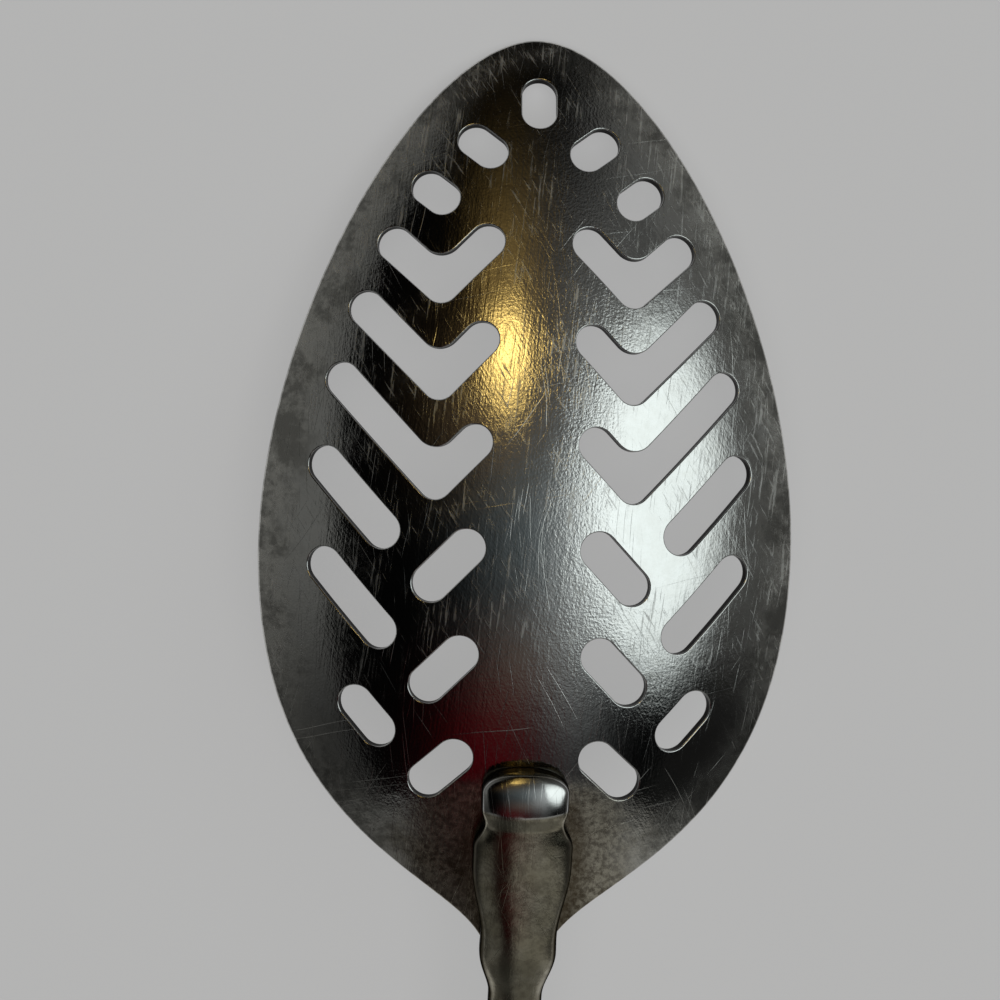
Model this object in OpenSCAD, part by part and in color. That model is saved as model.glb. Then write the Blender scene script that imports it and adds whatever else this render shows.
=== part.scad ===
// Slotted serving spoon, lying face down: the bowl's tip and the handle's end touch the table.
// The bowl is pressed sheet with pierced slots. A solid shank is welded on its back and runs on
// as a flat tang between two riveted handle scales.

/* [Bowl] */
// Width of the bowl at its widest
bowl_w = 66.3; // [60:0.1:72]
// Length of the bowl from its tip to the neck
bowl_l = 110; // [102:1:120]
// Thickness of the sheet
sheet_t = 1.1; // [0.8:0.1:1.5]
// Radius of the bowl's back across its width
dome_side_r = 60; // [54:1:72]
// Radius of the bowl's back along its length
dome_long_r = 150; // [140:1:180]

/* [Slots] */
// Width of the chevrons and of the small slots near the tip
slot_w = 4.2; // [3.6:0.1:4.5]
// Width of the outer and inner slots
long_slot_w = 4.5; // [4:0.1:5]
// Radius of the metal tongue that points into each chevron
tongue_r = 2.6; // [1.4:0.1:3]

/* [Shank] */
// Width of the polished nose
nose_w = 10.5; // [9.5:0.1:11.5]
// Width of the neck behind the nose
neck_w = 9.7; // [8.5:0.1:10.4]
// Width of the pad that is welded to the bowl
pad_w = 12.1; // [11:0.1:13]
// Width of the waist where the bowl ends
waist_w = 9.4; // [8:0.1:10]
// Width of the bulge below the waist
bulge_w = 9.5; // [8.5:0.1:10.5]
// Width of the stem at its start
stem_w = 6.7; // [5.6:0.1:7.6]
// Width of the stem halfway to the handle
stem_mid_w = 6.1; // [5.2:0.1:7.2]
// Height of the pad over the bowl
pad_h = 3.6; // [3:0.1:4.4]
// Height of the bulge
bulge_h = 4.5; // [4:0.1:5.2]
// Height of the stem
stem_h = 3.6; // [3.2:0.1:4.4]
// Length of the shank that lies on the bowl
seat_l = 21.8; // [20:0.2:26]
// Length of the shank between the bowl and the handle
reach_l = 76; // [60:1:100]
// Length of the nose's polished face
nose_l = 5; // [4:0.1:5.8]
// Radius of the polished face along the shank
nose_r = 12.5; // [11:0.5:18]
// Slope of the polished face at the ridge where it ends, in degrees
ridge_slope = 6; // [3:1:8]

/* [Handle] */
// Length of the handle scales
handle_l = 116; // [100:1:130]
// Width of the handle at its widest
handle_w = 24; // [20:0.5:28]
// Width of the handle at its front
handle_front_w = 15; // [13:0.5:18]
// Thickness of each scale
scale_t = 5.4; // [4.6:0.1:7]
// Thickness of the tang
tang_t = 2.2; // [1.8:0.1:2.8]
// Radius of the rounded faces of the scales across the handle
crown_r = 26; // [20:1:40]

/* [Rivets and eyelet] */
// Diameter of the rivet heads
rivet_head_d = 7; // [6:0.2:8]
// Height of the rivet heads
rivet_head_h = 1.4; // [1:0.1:1.8]
// Outer diameter of the tubular half of a rivet
socket_d = 4.6; // [4:0.1:5.2]
// Diameter of the solid half of a rivet
post_d = 2.8; // [2.2:0.1:3.2]
// Inner diameter of the hanging eyelet
eyelet_bore_d = 6.2; // [5:0.1:7]
// Wall of the eyelet
eyelet_wall = 0.5; // [0.4:0.05:0.7]
// Diameter of the eyelet's flanges
flange_d = 11; // [10:0.2:12.5]
// Height of the eyelet's flanges
flange_h = 0.9; // [0.7:0.05:1.2]
// Distance from the eyelet's centre to the handle's end
eyelet_inset = 12; // [10:0.5:16]

/* [Hidden] */
$fn = 64;
overrun = sheet_t;
// Running gaps: the shank over the bowl, flat handle faces, and round pieces in their holes
weld_gap = 0.1;
face_gap = 0.05;
hole_gap = 0.1;

// Bowl. The local frame has its origin on the crown of the back, +Y to the tip and +Z out of the back.
half_w = bowl_w / 2;
half_l = bowl_l / 2;
outline_steps = 22;
// Two cubic curves give the right half of the outline, as shares of half the width and half the length.
// The neck runs on a little under the shank
tip_curve_shares = [[0, 1], [0.418, 1], [1, 0.354], [1, -0.155]];
neck_curve_shares = [[1, -0.155], [1, -0.807], [0.239, -0.87], [0.126, -1.04]];

// Slots lie on the blank: places across and along it from the crown as shares of half the width
// and half the length, lengths between the end caps as shares of half the width, slopes in degrees
tip_slot_shares = [0, 0.861, 0.075];
tip_slot_slope = 90;
small_slot_shares = [[0.208, 0.755, 0.075], [0.38, 0.647, 0.069]];
small_slot_slope = 40;
outer_slot_shares = [[0.666, -0.04, 0.321], [0.666, -0.267, 0.309], [0.595, -0.535, 0.121]];
outer_slot_slope = 46;
inner_slot_shares = [[0.304, -0.184, 0.184], [0.312, -0.414, 0.166], [0.312, -0.641, 0.138]];
inner_slot_slopes = [-46, -46, -44];
// Each chevron has its corner across and along the blank, and then its outer and its inner arm
chevron_shares = [[0.352, 0.431, 0.243, 0.232], [0.354, 0.216, 0.393, 0.217], [0.362, -0.002, 0.51, 0.203]];
chevron_slopes = [[42.8, 45.4], [44.6, 46.2], [45.6, 45.8]];
// The tongue's rounding is cut a little past the arms' edges
tongue_steps = 8;
tongue_sink = 0.03 * slot_w;

// Shank: widths and heights at distances from the nose, along the underside
path_end = seat_l + reach_l;
tang_front_w = handle_front_w - 2 * face_gap;
width_stations = [
    [0.87 * nose_l, nose_w], [1.29 * nose_l, neck_w], [1.92 * nose_l, pad_w], [0.56 * seat_l, pad_w],
    [seat_l, waist_w], [1.1 * seat_l, bulge_w], [1.4 * seat_l, stem_w],
    [seat_l + 0.5 * reach_l, stem_mid_w], [seat_l + 0.78 * reach_l, stem_mid_w], [path_end, tang_front_w]
];
height_stations = [
    [nose_l, 1.08 * pad_h], [1.4 * nose_l, 0.98 * pad_h], [0.56 * seat_l, pad_h],
    [1.1 * seat_l, bulge_h], [1.45 * seat_l, stem_h], [seat_l + 0.78 * reach_l, stem_h], [path_end, tang_t]
];
// How square the section's corners are
power_stations = [[1.29 * nose_l, 7], [1.92 * nose_l, 4], [path_end, 3.4]];
// Where the loft has its sections, as shares of the nose, of the rest of the seat and of the reach
nose_section_shares = [0, 0.012, 0.05, 0.12, 0.22, 0.34, 0.48, 0.65, 0.82, 0.94];
seat_section_shares = [
    0, 0.03, 0.07, 0.11, 0.15, 0.19, 0.23, 0.28, 0.35, 0.43, 0.52, 0.61, 0.7, 0.79, 0.87, 0.94
];
reach_section_shares = [0, 0.03, 0.06, 0.09, 0.12, 0.16, 0.3, 0.5, 0.78, 0.84, 0.89, 0.94, 1];
section_points = 32;
belly_share = 0.3;
// How far the section's sides lie under its crown, and the ridge's sides in front of its middle
crown_share = 0.22;
ridge_bow_share = 0.11;
// The nose starts with a small flat, and its rounding in plan ends at a share of its length
nose_flat_share = 0.2;
nose_round_share = 0.48;

// Handle. Its frame starts at the bowl's end on the shank's underside, with +Y back along the handle.
stack_bottom = -face_gap - scale_t;
stack_top = tang_t + face_gap + scale_t;
stack_mid = tang_t / 2;
end_r = (stack_top - stack_bottom) / 2;
front_r = 0.62 * scale_t;
eyelet_at = handle_l - eyelet_inset;
front_rivet_at = 0.15 * handle_l;
rear_rivet_at = 0.64 * handle_l;
eyelet_od = eyelet_bore_d + 2 * eyelet_wall;
tang_inset = 0.25 * eyelet_wall;
// Three cubic curves give the handle's right half, as shares of its length and of half the front's
// width, of the swell from there to the widest place, and of half the widest width
handle_front_shares = [[0, 0], [0.75, 0], [1, 0.004], [1, 0.03]];
handle_side_shares = [[0, 0.03], [0, 0.3], [1, 0.4], [1, 0.7]];
handle_end_shares = [[1, 0.7], [1, 0.91], [0.64, 1], [0, 1]];

// Rest: the tip's lower edge and the rounded end of the handle touch the table
neck_angle = asin(half_l / dome_long_r);
tip_low = [half_l, sqrt(pow(dome_long_r - sheet_t, 2) - pow(half_l, 2)) - dome_long_r];
tip_high = [half_l, dome_long_r * cos(neck_angle) - dome_long_r];
end_centre = straight_point(reach_l + handle_l - end_r, stack_mid);
span = tip_low - end_centre;
rest_tilt = atan2(span[1], span[0]) + asin(end_r / norm(span));
rest_front = turned(tip_high)[0];
rest_back = turned(end_centre)[0] - end_r;
rest_shift = [0, -(rest_front + rest_back) / 2, -turned(tip_low)[1]];

function turned(p) = [
    p[0] * cos(rest_tilt) + p[1] * sin(rest_tilt), p[1] * cos(rest_tilt) - p[0] * sin(rest_tilt)
];

function cubic(p, t) =
    pow(1 - t, 3) * p[0] + 3 * t * pow(1 - t, 2) * p[1] + 3 * t * t * (1 - t) * p[2] + pow(t, 3) * p[3];

function scaled(shares, across, along) = [for (s = shares) [s[0] * across, s[1] * along]];

// Points along cubic curves that follow each other, with the last curve's end
function chain(curves) = concat(
    [for (p = curves, i = [0 : outline_steps - 1]) cubic(p, i / outline_steps)],
    [curves[len(curves) - 1][3]]
);

// Closed outline from its right half, without a second copy of the points on the middle line
function both_sides(right) = concat(
    right,
    [for (i = [len(right) - 1 : -1 : 0]) if (right[i][0] > 0) [-right[i][0], right[i][1]]]
);

// Value at x in a table of [x, value], with a smooth step from each row to the next
function eased(table, x, row = 0) =
    x <= table[0][0] ? table[0][1]
    : row >= len(table) - 1 ? table[row][1]
    : x <= table[row + 1][0] ? stepped(table[row], table[row + 1], x)
    : eased(table, x, row + 1);

function stepped(a, b, x) = a[1] + (b[1] - a[1]) * (1 - cos(180 * (x - a[0]) / (b[0] - a[0]))) / 2;

// Point [y, z] at a distance behind the bowl's end and a height over the shank's underside
function straight_point(along, height) = [
    -half_l - along * cos(neck_angle) - height * sin(neck_angle),
    tip_high[1] + weld_gap - along * sin(neck_angle) + height * cos(neck_angle)
];

// Point [y, z] at a distance from the nose: round the bowl's back, then straight on
function shank_point(distance, height) =
    distance < seat_l ? seat_point(neck_angle - (seat_l - distance) / dome_long_r * 180 / PI, height)
    : straight_point(distance - seat_l, height);

function seat_point(angle, height) = [
    -(dome_long_r + weld_gap + height) * sin(angle),
    (dome_long_r + weld_gap + height) * cos(angle) - dome_long_r
];

function signed_power(value, power) = sign(value) * pow(abs(value), power);

// The nose is round in plan: its width grows from the end along a quarter of an oval
function nose_rounding(distance) =
    let (x = min(1, distance / (nose_round_share * nose_l)))
    nose_flat_share + (1 - nose_flat_share) * sqrt(1 - pow(1 - x, 2));

// How far the polished face lies under the shank's top, at a distance in front of the ridge
function face_drop(ahead) = ahead > 0 ? ahead * tan(ridge_slope) + ahead * ahead / (2 * nose_r) : 0;

// One section: an oval with square corners, a crowned top and a flatter belly
function shank_section(distance) =
    let (
        half = eased(width_stations, distance) / 2 * nose_rounding(distance),
        height = eased(height_stations, distance),
        power = 2 / eased(power_stations, distance),
        belly = belly_share * height
    )
    [for (i = [0 : section_points - 1])
        let (
            turn = 360 * i / section_points,
            side = signed_power(cos(turn), power),
            rise = signed_power(sin(turn), power),
            ridge = nose_l * (1 - ridge_bow_share * side * side),
            top = height * (1 - crown_share * side * side) - face_drop(ridge - distance),
            z = rise > 0 ? belly + (top - belly) * rise : belly + belly * rise,
            point = shank_point(distance, z)
        )
        [half * side, point[0], point[1]]
    ];

// Places children on the blank of the bowl, with +Z out of its back
module on_blank(across, along) {
    translate([0, 0, -dome_long_r])
        rotate([-along / dome_long_r * 180 / PI, 0, 0])
            translate([0, 0, dome_long_r - dome_side_r])
                rotate([0, across / dome_side_r * 180 / PI, 0])
                    translate([0, 0, dome_side_r])
                        children();
}

module slot_arm(length, width) {
    translate([0, -width / 2])
        square([length, width]);
    translate([length, 0])
        circle(d = width);
}

module straight_slot(shares, slope, width) {
    length = shares[2] * half_w;
    on_blank(shares[0] * half_w, shares[1] * half_l)
        rotate([0, 0, slope])
            translate([-length / 2, 0, -sheet_t - overrun])
                linear_extrude(sheet_t + 2 * overrun) {
                    slot_arm(length, width);
                    circle(d = width);
                }
}

// The notch between the arms ends in a rounded tongue of metal
module chevron(shares, slopes) {
    out_turn = slopes[0];
    in_turn = 180 - slopes[1];
    half_turn = (in_turn - out_turn) / 2;
    middle = (in_turn + out_turn) / 2;
    reach = slot_w / 2 / sin(half_turn) + tongue_r / sin(half_turn);
    centre = reach * [cos(middle), sin(middle)];
    out_foot = centre + (tongue_r + tongue_sink) * [sin(out_turn), -cos(out_turn)];
    in_foot = centre + (tongue_r + tongue_sink) * [-sin(in_turn), cos(in_turn)];
    tip_arc = [for (i = [1 : tongue_steps - 1])
        let (turn = out_turn - 90 - (180 - 2 * half_turn) * i / tongue_steps)
        centre + tongue_r * [cos(turn), sin(turn)]
    ];
    on_blank(shares[0] * half_w, shares[1] * half_l)
        translate([0, 0, -sheet_t - overrun])
            linear_extrude(sheet_t + 2 * overrun) {
                rotate(out_turn)
                    slot_arm(shares[2] * half_w, slot_w);
                rotate(in_turn)
                    slot_arm(shares[3] * half_w, slot_w);
                circle(d = slot_w);
                polygon(concat([[0, 0], out_foot], tip_arc, [in_foot]));
            }
}

module slots_of_one_side() {
    for (shares = small_slot_shares)
        straight_slot(shares, small_slot_slope, slot_w);
    for (row = [0 : len(chevron_shares) - 1])
        chevron(chevron_shares[row], chevron_slopes[row]);
    for (shares = outer_slot_shares)
        straight_slot(shares, outer_slot_slope, long_slot_w);
    for (row = [0 : len(inner_slot_shares) - 1])
        straight_slot(inner_slot_shares[row], inner_slot_slopes[row], long_slot_w);
}

// Shell of the pressed dome: a band of a ring whose axis runs across the spoon
module dome() {
    sweep = 4 * neck_angle;
    translate([0, 0, -dome_long_r])
        rotate([0, -90, 0])
            rotate([0, 0, -sweep / 2])
                rotate_extrude(angle = sweep, $fn = 180)
                    intersection() {
                        translate([dome_long_r - dome_side_r, 0])
                            difference() {
                                circle(r = dome_side_r, $fn = 180);
                                circle(r = dome_side_r - sheet_t, $fn = 180);
                            }
                        translate([dome_long_r - dome_side_r / 2, -dome_side_r])
                            square([dome_side_r, 2 * dome_side_r]);
                    }
}

module bowl() {
    outline = both_sides(chain([
        scaled(tip_curve_shares, half_w, half_l),
        scaled(neck_curve_shares, half_w, half_l)
    ]));
    color("slategray")
        at_rest()
            difference() {
                intersection() {
                    dome();
                    translate([0, 0, -dome_side_r])
                        linear_extrude(dome_side_r + overrun)
                            polygon(outline);
                }
                straight_slot(tip_slot_shares, tip_slot_slope, slot_w);
                slots_of_one_side();
                mirror([1, 0, 0])
                    slots_of_one_side();
            }
}

// Outline of the handle, drawn in by a small inset for the tang
module handle_outline(inset) {
    front = handle_front_w / 2 - inset;
    swell = handle_w / 2 - handle_front_w / 2;
    long = handle_l - inset;
    side = [for (s = handle_side_shares) [front + s[0] * swell, s[1] * long]];
    polygon(both_sides(chain([
        scaled(handle_front_shares, front, long),
        side,
        scaled(handle_end_shares, front + swell, long)
    ])));
}

// Places children in the handle's frame
module on_handle() {
    at_rest()
        translate([0, straight_point(reach_l, 0)[0], straight_point(reach_l, 0)[1]])
            rotate([neck_angle, 0, 0])
                rotate([0, 0, 180])
                    children();
}

module hole(at, d) {
    translate([0, at, stack_bottom - overrun])
        cylinder(d = d, h = stack_top - stack_bottom + 2 * overrun);
}

module tang_holes() {
    hole(front_rivet_at, socket_d + 2 * hole_gap);
    hole(rear_rivet_at, socket_d + 2 * hole_gap);
    hole(eyelet_at, eyelet_od + 2 * hole_gap);
}

// Recesses for the heads and flanges in both faces of the handle
module recess(at, d, depth) {
    for (level = [stack_bottom - overrun, stack_top - depth])
        translate([0, at, level])
            cylinder(d = d, h = depth + overrun);
}

module head_recesses() {
    recess(front_rivet_at, rivet_head_d + 2 * hole_gap, rivet_head_h);
    recess(rear_rivet_at, rivet_head_d + 2 * hole_gap, rivet_head_h);
    recess(eyelet_at, flange_d + 2 * hole_gap, flange_h);
}

module shank() {
    distances = concat(
        nose_l * nose_section_shares,
        [for (s = seat_section_shares) nose_l + s * (seat_l - nose_l)],
        [for (s = reach_section_shares) seat_l + s * reach_l]
    );
    rings = len(distances);
    last = (rings - 1) * section_points;
    color("dimgray") {
        at_rest()
            polyhedron(
                points = [for (d = distances) each shank_section(d)],
                faces = concat(
                    [[for (i = [0 : section_points - 1]) i]],
                    [for (r = [0 : rings - 2], i = [0 : section_points - 1], upper = [0, 1])
                        let (
                            a = r * section_points + i,
                            b = r * section_points + (i + 1) % section_points
                        )
                        upper == 0 ? [a, a + section_points, b]
                        : [b, a + section_points, b + section_points]
                    ],
                    [[for (i = [section_points - 1 : -1 : 0]) last + i]]
                )
            );
        on_handle()
            difference() {
                linear_extrude(tang_t)
                    handle_outline(tang_inset);
                tang_holes();
            }
    }
}

// Both scales in one block: the outline, the rounded ends and the rounded faces, without the tang's layer
module scale_block(bottom, top, crown_z) {
    difference() {
        intersection() {
            translate([0, 0, bottom])
                linear_extrude(top - bottom)
                    handle_outline(0);
            union() {
                translate([-handle_w, handle_l - end_r, stack_mid])
                    rotate([0, 90, 0])
                        cylinder(r = end_r, h = 2 * handle_w);
                translate([-handle_w, front_r, stack_bottom])
                    cube([2 * handle_w, handle_l - end_r - front_r, stack_top - stack_bottom]);
                translate([-handle_w, 0, stack_bottom + front_r])
                    cube([2 * handle_w, handle_l - end_r, stack_top - stack_bottom - 2 * front_r]);
                for (level = [stack_bottom + front_r, stack_top - front_r])
                    translate([-handle_w, front_r, level])
                        rotate([0, 90, 0])
                            cylinder(r = front_r, h = 2 * handle_w);
            }
            translate([0, -overrun, crown_z])
                rotate([-90, 0, 0])
                    cylinder(r = crown_r, h = handle_l + 2 * overrun, $fn = 180);
        }
        tang_holes();
        head_recesses();
    }
}

module upper_scale() {
    color("#1c1a19")
        on_handle()
            scale_block(tang_t + face_gap, stack_top, stack_top - crown_r);
}

module lower_scale() {
    color("#1c1a19")
        on_handle()
            scale_block(stack_bottom, -face_gap, stack_bottom + crown_r);
}

// Solid half of a rivet, pushed in from the upper face
module rivet_post(at) {
    head_bottom = stack_top - rivet_head_h + face_gap;
    pin_bottom = stack_bottom + 1.6 * rivet_head_h;
    color("silver")
        on_handle()
            translate([0, at, 0])
                rotate_extrude()
                    polygon([
                        [0, pin_bottom],
                        [0.4 * post_d, pin_bottom],
                        [0.5 * post_d, pin_bottom + 0.2 * post_d],
                        [0.5 * post_d, head_bottom],
                        [0.5 * rivet_head_d, head_bottom],
                        [0.5 * rivet_head_d, stack_top - 0.45 * rivet_head_h],
                        [0.44 * rivet_head_d, stack_top - 0.2 * rivet_head_h],
                        [0.3 * rivet_head_d, stack_top - 0.06 * rivet_head_h],
                        [0, stack_top]
                    ]);
}

// Tubular half of a rivet, with its head in the lower face
module rivet_socket(at) {
    head_top = stack_bottom + rivet_head_h - face_gap;
    tube_top = stack_top - rivet_head_h - hole_gap;
    bore_bottom = stack_bottom + 1.3 * rivet_head_h;
    bore_r = post_d / 2 + hole_gap;
    color("silver")
        on_handle()
            translate([0, at, 0])
                rotate_extrude()
                    polygon([
                        [0, stack_bottom],
                        [0.3 * rivet_head_d, stack_bottom + 0.06 * rivet_head_h],
                        [0.44 * rivet_head_d, stack_bottom + 0.2 * rivet_head_h],
                        [0.5 * rivet_head_d, stack_bottom + 0.45 * rivet_head_h],
                        [0.5 * rivet_head_d, head_top],
                        [0.5 * socket_d, head_top],
                        [0.5 * socket_d, tube_top],
                        [bore_r, tube_top],
                        [bore_r, bore_bottom],
                        [0, bore_bottom]
                    ]);
}

module front_rivet_post() {
    rivet_post(front_rivet_at);
}

module front_rivet_socket() {
    rivet_socket(front_rivet_at);
}

module rear_rivet_post() {
    rivet_post(rear_rivet_at);
}

module rear_rivet_socket() {
    rivet_socket(rear_rivet_at);
}

// Tube that lines the hanging hole, rolled over into a flange on each face
module hang_eyelet() {
    bore_r = eyelet_bore_d / 2;
    seat_low = stack_bottom + flange_h - face_gap;
    seat_high = stack_top - flange_h + face_gap;
    color("silver")
        on_handle()
            translate([0, eyelet_at, 0])
                rotate_extrude()
                    polygon([
                        [bore_r, stack_bottom + 0.5 * flange_h],
                        [bore_r + 0.6 * eyelet_wall, stack_bottom],
                        [0.43 * flange_d, stack_bottom],
                        [0.5 * flange_d, stack_bottom + 0.5 * flange_h],
                        [0.5 * flange_d, seat_low],
                        [0.5 * eyelet_od, seat_low],
                        [0.5 * eyelet_od, seat_high],
                        [0.5 * flange_d, seat_high],
                        [0.5 * flange_d, stack_top - 0.5 * flange_h],
                        [0.43 * flange_d, stack_top],
                        [bore_r + 0.6 * eyelet_wall, stack_top],
                        [bore_r, stack_top - 0.5 * flange_h]
                    ]);
}

// Turns the spoon from the bowl's own frame to its place on the table
module at_rest() {
    translate(rest_shift)
        rotate([-rest_tilt, 0, 0])
            children();
}

bowl();
shank();
upper_scale();
lower_scale();
front_rivet_post();
front_rivet_socket();
rear_rivet_post();
rear_rivet_socket();
hang_eyelet();
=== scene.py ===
import functools
import math

import bpy
import mathutils
import numpy as np
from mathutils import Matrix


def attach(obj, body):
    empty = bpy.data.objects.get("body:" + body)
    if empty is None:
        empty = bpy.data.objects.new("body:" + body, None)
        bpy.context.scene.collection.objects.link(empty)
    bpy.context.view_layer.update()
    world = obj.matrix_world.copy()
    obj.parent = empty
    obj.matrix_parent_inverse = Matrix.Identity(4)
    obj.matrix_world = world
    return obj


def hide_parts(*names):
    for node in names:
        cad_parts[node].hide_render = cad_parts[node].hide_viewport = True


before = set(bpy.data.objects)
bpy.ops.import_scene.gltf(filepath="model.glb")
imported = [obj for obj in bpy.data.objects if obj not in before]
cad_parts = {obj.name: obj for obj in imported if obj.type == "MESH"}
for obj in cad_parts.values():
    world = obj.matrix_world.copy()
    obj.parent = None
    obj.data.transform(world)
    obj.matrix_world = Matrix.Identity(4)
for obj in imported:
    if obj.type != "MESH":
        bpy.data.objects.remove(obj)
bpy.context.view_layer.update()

# Sizes are in millimetres, as in the part's own source, and in the bowl's frame: the origin is on the
# crown of the back, +Y runs to the tip and +Z out of the back


# Curves and sheets

quarter = math.pi / 2


def ramp(value, start, end):
    # 0 at the start, 1 at the end and straight between
    return np.clip((value - start) / (end - start), 0, 1)


def bezier(p, steps):
    # (1-t)^3 a + 3t(1-t)^2 b + 3t^2(1-t) c + t^3 d, t from 0 to 1 without its end
    t = np.linspace(0, 1, steps, endpoint=False)[:, None]
    a, b, c, d = np.asarray(p, float)
    return (1 - t) ** 3 * a + 3 * t * (1 - t) ** 2 * b + 3 * t * t * (1 - t) * c + t ** 3 * d


def evenly(points, step):
    # the closed loop again, with points at even distances along it
    closed = np.concatenate([points, points[:1]])
    along = np.concatenate([[0], np.cumsum(np.linalg.norm(np.diff(closed, axis=0), axis=1))])
    places = np.linspace(0, along[-1], int(along[-1] / step), endpoint=False)
    return np.stack([np.interp(places, along, closed[:, k]) for k in range(2)], 1)


def intoMetal(loop):
    # unit vectors on the right hand of a loop's tangent, which point away from its open side
    tangent = np.roll(loop, -1, 0) - np.roll(loop, 1, 0)
    tangent /= np.linalg.norm(tangent, axis=1)[:, None]
    return np.stack([tangent[:, 1], -tangent[:, 0]], 1)


def atHeight(xy, z):
    # flat points raised to one height, or each to its own
    return np.column_stack([xy, np.broadcast_to(z, len(xy))])


def isInside(points, loops):
    # even-odd rule over all loops
    inside = np.zeros(len(points), bool)
    x, y = points[:, :1], points[:, 1:2]
    for a in loops:
        b = np.roll(a, -1, 0)
        rise = np.where(b[:, 1] == a[:, 1], 1, b[:, 1] - a[:, 1])
        crossing = a[:, 0] + (y - a[:, 1]) * (b[:, 0] - a[:, 0]) / rise
        inside ^= ((((a[:, 1] > y) != (b[:, 1] > y)) & (x < crossing)).sum(1) % 2).astype(bool)
    return inside


def nearest(points, targets):
    # distance from each point to the nearest target, in parts that fit the memory
    pairsAtOnce = 4000000
    parts = np.array_split(points, len(points) * len(targets) // pairsAtOnce + 1)
    return np.concatenate([np.sqrt(((p[:, None] - targets) ** 2).sum(2).min(1)) for p in parts])


def fillBetween(loops, step):
    # flat sheet inside the first loop and outside the others: staggered grid joined by Delaunay triangles
    edge = np.concatenate(loops)
    low, high = edge.min(0), edge.max(0)
    rowGap = 0.866 * step
    gridX, gridY = np.meshgrid(np.arange(low[0], high[0], step), np.arange(low[1], high[1], rowGap))
    gridX = gridX + np.arange(len(gridX))[:, None] % 2 * step / 2
    grid = np.stack([gridX.ravel(), gridY.ravel()], 1)
    grid = grid[isInside(grid, loops)]
    grid = grid[nearest(grid, edge) > 0.5 * step]
    points = np.concatenate([edge, grid])
    starts = np.cumsum([0] + [len(loop) for loop in loops])
    edges = [
        [int(start + i), int(start + (i + 1) % len(loop))]
        for start, loop in zip(starts, loops) for i in range(len(loop))
    ]
    joined = mathutils.geometry.delaunay_2d_cdt(points.tolist(), edges, [], 0, 1e-7)
    triangles = np.array(joined[2])
    if len(joined[0]) != len(points):
        raise ValueError("the loops of a sheet cross each other")
    triangles = triangles[isInside(points[triangles].mean(1), loops)]
    a, b, c = (points[triangles[:, k]] for k in range(3))
    area = (b[:, 0] - a[:, 0]) * (c[:, 1] - a[:, 1]) - (b[:, 1] - a[:, 1]) * (c[:, 0] - a[:, 0])
    triangles[area < 0] = triangles[area < 0][:, ::-1]
    return points, triangles


def quadsBetween(a, b):
    # four-sided faces between rings of point numbers a and b, closed round each ring
    return np.stack([a, np.roll(a, -1, 1), np.roll(b, -1, 1), b], -1).reshape(-1, 4)


def piercedSheet(stacks, step, lift):
    # closed sheet: two skins, and between them a stack of rings round the rim and round each hole.
    # stacks hold (rings, points, 3) places, first ring in the upper skin and last in the lower one
    upper, upperTriangles = fillBetween([s[0, :, :2] for s in stacks], step)
    lower, lowerTriangles = fillBetween([s[-1, :, :2] for s in stacks], step)
    points = [lift(upper, 0), lift(lower, 1)]
    faces = [upperTriangles, lowerTriangles[:, ::-1] + len(upper)]
    start, total = 0, len(upper) + len(lower)
    for s in stacks:
        rings, count = s.shape[:2]
        index = np.empty((rings, count), int)
        index[0] = start + np.arange(count)
        index[-1] = len(upper) + start + np.arange(count)
        index[1:-1] = total + np.arange((rings - 2) * count).reshape(rings - 2, count)
        points.append(s[1:-1].reshape(-1, 3))
        quads = quadsBetween(index[:-1], index[1:])
        faces += [quads[:, :3], quads[:, [0, 2, 3]]]
        start += count
        total += (rings - 2) * count
    return np.concatenate(points), np.concatenate(faces)


def addObject(name, data):
    made = bpy.data.objects.new(name, data)
    bpy.context.scene.collection.objects.link(made)
    return made


def makePiece(name, node, points, faces, finish, normals=None, marks=None, sharp=None):
    # a mesh at the origin that stands for a CAD node; marks are values at its points that the finish reads
    mesh = bpy.data.meshes.new(name)
    mesh.from_pydata(points, [], faces)
    mesh.shade_smooth()
    for mark, values in (marks or {}).items():
        layer = mesh.attributes.new(mark, "FLOAT", "POINT")
        layer.data.foreach_set("value", np.asarray(values, np.float32))
    if normals is not None:
        mesh.normals_split_custom_set_from_vertices(normals)
    if sharp:
        mesh.set_sharp_from_angle(angle=math.radians(sharp))
    mesh.materials.append(finish)
    mesh.update()
    piece = addObject(name, mesh)
    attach(piece, "root")
    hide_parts(node)
    print(name, len(points), "points", len(faces), "faces")


# Materials

def colour(code):
    # sRGB hex to linear
    parts = [int(code[i:i + 2], 16) / 255 for i in (1, 3, 5)]
    return [v / 12.92 if v <= 0.04045 else ((v + 0.055) / 1.055) ** 2.4 for v in parts] + [1.0]


# Nodes that come up all over: Blender's node, and the setting that picks what it does. A fade runs from its
# start to its end, smoothly from 0 to 1 or between two other values
nodeKinds = {
    "fade": ("MapRange", "interpolation_type", "SMOOTHSTEP"),
    "blend": ("Mix", "data_type", "RGBA"),
    "dot": ("VectorMath", "operation", "DOT_PRODUCT"),
    "scale": ("VectorMath", "operation", "SCALE"),
}
nodeKinds |= {
    word: ("Math", "operation", word.upper())
    for word in ("add", "subtract", "multiply", "maximum", "power", "exponent", "floor", "fract", "absolute")
}


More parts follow.
